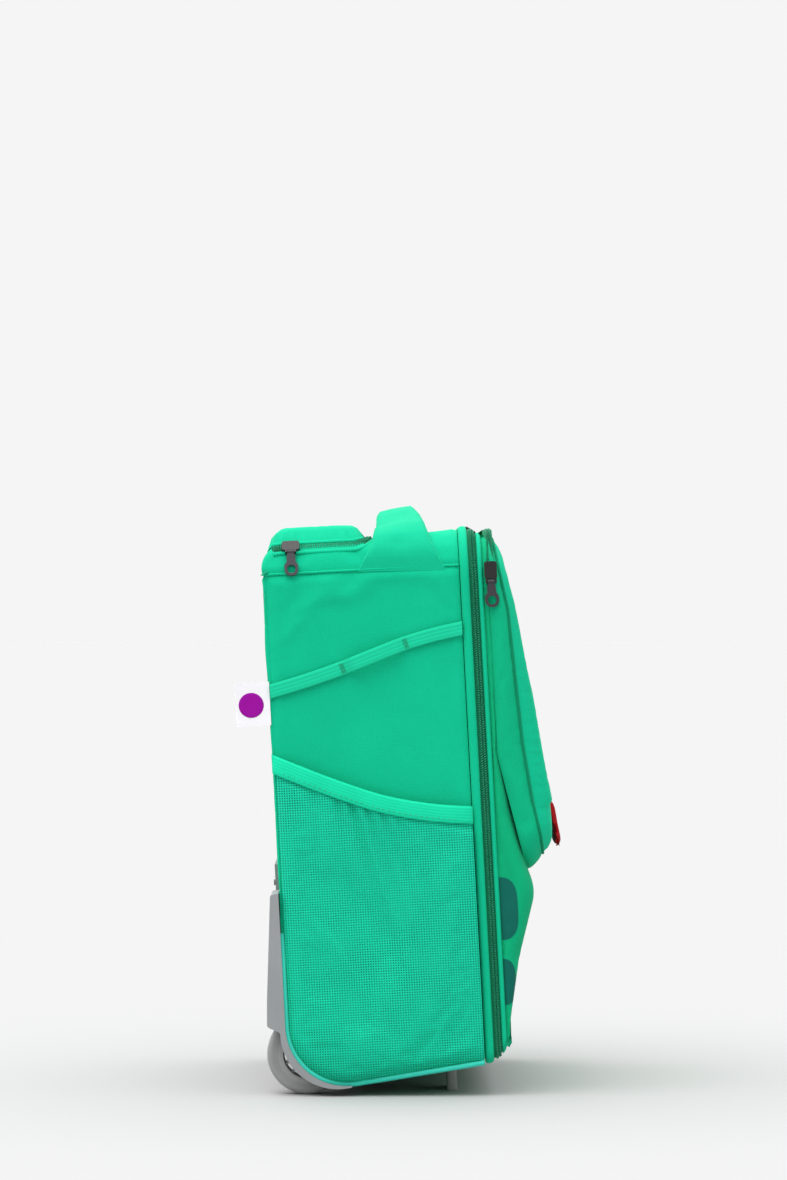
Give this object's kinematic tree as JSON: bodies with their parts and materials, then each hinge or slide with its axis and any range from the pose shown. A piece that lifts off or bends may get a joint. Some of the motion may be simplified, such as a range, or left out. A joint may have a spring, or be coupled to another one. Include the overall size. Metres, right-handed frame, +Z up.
{
  "type": "soft two-wheeled travel case",
  "caption": "Small soft-sided upright travel case on two wheels, with a telescopic handle under a zipped flap, a zipped front lid and pocket, mesh side pockets and a carry handle",
  "frame": {"origin": "on the floor under the middle of the standing case", "axes": "+X to the case's right as seen from behind it, -Y to its front, +Z up; the case leans back 3 degrees on its wheels"},
  "size_m": [0.3, 0.2234, 0.401],
  "materials": {
    "jade_cloth": "woven polyester over foam, jade green",
    "gusset_cloth": "woven polyester, deeper green",
    "zip_coil": "spiral nylon zip on dark green tape",
    "webbing": "ribbed elastic webbing, bright green",
    "mesh": "knitted mesh, green",
    "turquoise_piping": "turquoise cord piping",
    "black_webbing": "flat webbing",
    "board": "stiffening board",
    "grey_plastic": "moulded grey polypropylene, fine spark texture",
    "wheel_rubber": "grey soft tread",
    "bush_plastic": "acetal",
    "steel": "zinc plated",
    "tube_aluminium": "satin anodised",
    "grip_plastic": "soft-touch moulding",
    "slider_metal": "black painted zinc casting",
    "pull_plastic": "charcoal moulded pull",
    "label_cloth": "white woven tag",
    "label_patch": "plain purple round patch",
    "red_cloth": "red padded cloth"
  },
  "bodies": {
    "case": {"back_board": "board", "bottom_panel": "jade_cloth", "carry_handle": "jade_cloth", "case_zip_band": "jade_cloth", "case_zip_coil": "zip_coil", "corner_guard_left": "grey_plastic", "corner_guard_right": "grey_plastic", "flap_zip_coil": "zip_coil", "front_feet": "grey_plastic", "handle_tray": "grey_plastic", "kick_plate": "grey_plastic", "label_patches": "label_patch", "label_tag": "label_cloth", "mesh_pocket_left": "mesh", "mesh_pocket_right": "mesh", "outer_tube_left": "tube_aluminium", "outer_tube_right": "tube_aluminium", "packing_straps": "black_webbing", "plate_screws": "steel", "pocket_binding_left": "webbing", "pocket_binding_right": "webbing", "pocket_piping_left": "turquoise_piping", "pocket_piping_right": "turquoise_piping", "rear_panel": "jade_cloth", "side_panel_left": "jade_cloth", "side_panel_right": "jade_cloth", "side_strap_left": "webbing", "side_strap_right": "webbing", "skids": "grey_plastic", "top_panel": "jade_cloth", "tube_sockets": "grey_plastic", "wheel_axles": "steel"},
    "wheel_left": {"tyre_left": "wheel_rubber", "wheel_hub_left": "grey_plastic", "wheel_bush_left": "bush_plastic"},
    "wheel_right": {"tyre_right": "wheel_rubber", "wheel_hub_right": "grey_plastic", "wheel_bush_right": "bush_plastic"},
    "middle_stage": {"middle_tube_left": "tube_aluminium", "middle_tube_right": "tube_aluminium", "handle_yoke": "bush_plastic"},
    "grip_stage": {"inner_tube_left": "tube_aluminium", "inner_tube_right": "tube_aluminium", "handle_grip": "grip_plastic"},
    "grip_button": {"grip_button": "grip_plastic"},
    "handle_flap": {"handle_flap": "jade_cloth"},
    "lid": {"lid_panel": "jade_cloth", "lid_board": "board", "lid_zip_band": "jade_cloth", "lid_zip_coil": "zip_coil", "pocket_gusset": "gusset_cloth", "pocket_front": "jade_cloth"},
    "pocket_mouth": {"pocket_mouth": "jade_cloth"},
    "main_slider": {"main_slider": "slider_metal"},
    "main_pull": {"main_pull": "pull_plastic"},
    "pocket_slider": {"pocket_slider": "slider_metal"},
    "pocket_pull": {"pocket_pull": "pull_plastic"},
    "flap_slider": {"flap_slider": "slider_metal"},
    "flap_pull": {"flap_pull": "pull_plastic"},
    "pull_tab": {"pull_tab": "red_cloth"}
  },
  "joints": [
    {"name": "wheel_left_spin", "type": "hinge", "parent": "case", "child": "wheel_left", "pos_m": [-0.122, 0.06231, 0.0275], "axis": [1, 0, 0], "continuous": true},
    {"name": "wheel_right_spin", "type": "hinge", "parent": "case", "child": "wheel_right", "pos_m": [0.122, 0.06231, 0.0275], "axis": [1, 0, 0], "continuous": true},
    {"name": "handle_slide", "type": "slide", "parent": "case", "child": "middle_stage", "axis": [0, 0.0523, 0.9986], "range_m": [0, 0.2], "deforming": ["handle_flap"]},
    {"name": "grip_slide", "type": "slide", "parent": "middle_stage", "child": "grip_stage", "axis": [0, 0.0523, 0.9986], "range_m": [0, 0.2]},
    {"name": "flap_hinge", "type": "hinge", "parent": "case", "child": "handle_flap", "pos_m": [0, 0.09061, 0.37069], "axis": [-1, 0, 0], "range_deg": [0, 120]},
    {"name": "button_press", "type": "slide", "parent": "grip_stage", "child": "grip_button", "axis": [0, -0.0523, -0.9986], "range_m": [0, 0.0025], "stiffness_N_per_m": 600, "springref_m": -0.001},
    {"name": "lid_hinge", "type": "hinge", "parent": "case", "child": "lid", "pos_m": [0.151, -0.06821, 0.03434], "axis": [0, 0.0523, 0.9986], "range_deg": [0, 175]},
    {"name": "pocket_mouth_hinge", "type": "hinge", "parent": "lid", "child": "pocket_mouth", "pos_m": [0, -0.07758, 0.34005], "axis": [1, 0, 0], "range_deg": [0, 45]},
    {"name": "main_slider_slide", "type": "slide", "parent": "lid", "child": "main_slider", "axis": [-1, 0, 0], "range_m": [0, 0.12]},
    {"name": "main_pull_swing", "type": "hinge", "parent": "main_slider", "child": "main_pull", "pos_m": [0.0778, -0.05211, 0.3879], "axis": [0, -0.8494, -0.5278], "range_deg": [0, 110]},
    {"name": "pocket_slider_slide", "type": "slide", "parent": "lid", "child": "pocket_slider", "axis": [0, 0.0523, 0.9986], "range_m": [0, 0.012]},
    {"name": "pocket_pull_swing", "type": "hinge", "parent": "pocket_slider", "child": "pocket_pull", "pos_m": [-0.14545, -0.06314, 0.35071], "axis": [0, 0.9986, -0.0523], "range_deg": [0, 110]},
    {"name": "flap_slider_slide", "type": "slide", "parent": "case", "child": "flap_slider", "axis": [0, -0.9986, 0.0523], "range_m": [0, 0.035]},
    {"name": "flap_pull_swing", "type": "hinge", "parent": "flap_slider", "child": "flap_pull", "pos_m": [-0.13868, 0.0736, 0.37097], "axis": [0, 0.9986, -0.0523], "range_deg": [0, 90]},
    {"name": "tab_swing", "type": "hinge", "parent": "lid", "child": "pull_tab", "pos_m": [0, -0.10789, 0.20004], "axis": [-1, 0, 0], "range_deg": [0, 110]}
  ],
  "couplings": [
    {"joint": "grip_slide", "follows": "handle_slide", "ratio": 1},
    {"joint": "flap_hinge", "follows": "handle_slide", "rad_per_m": 10.4}
  ]
}
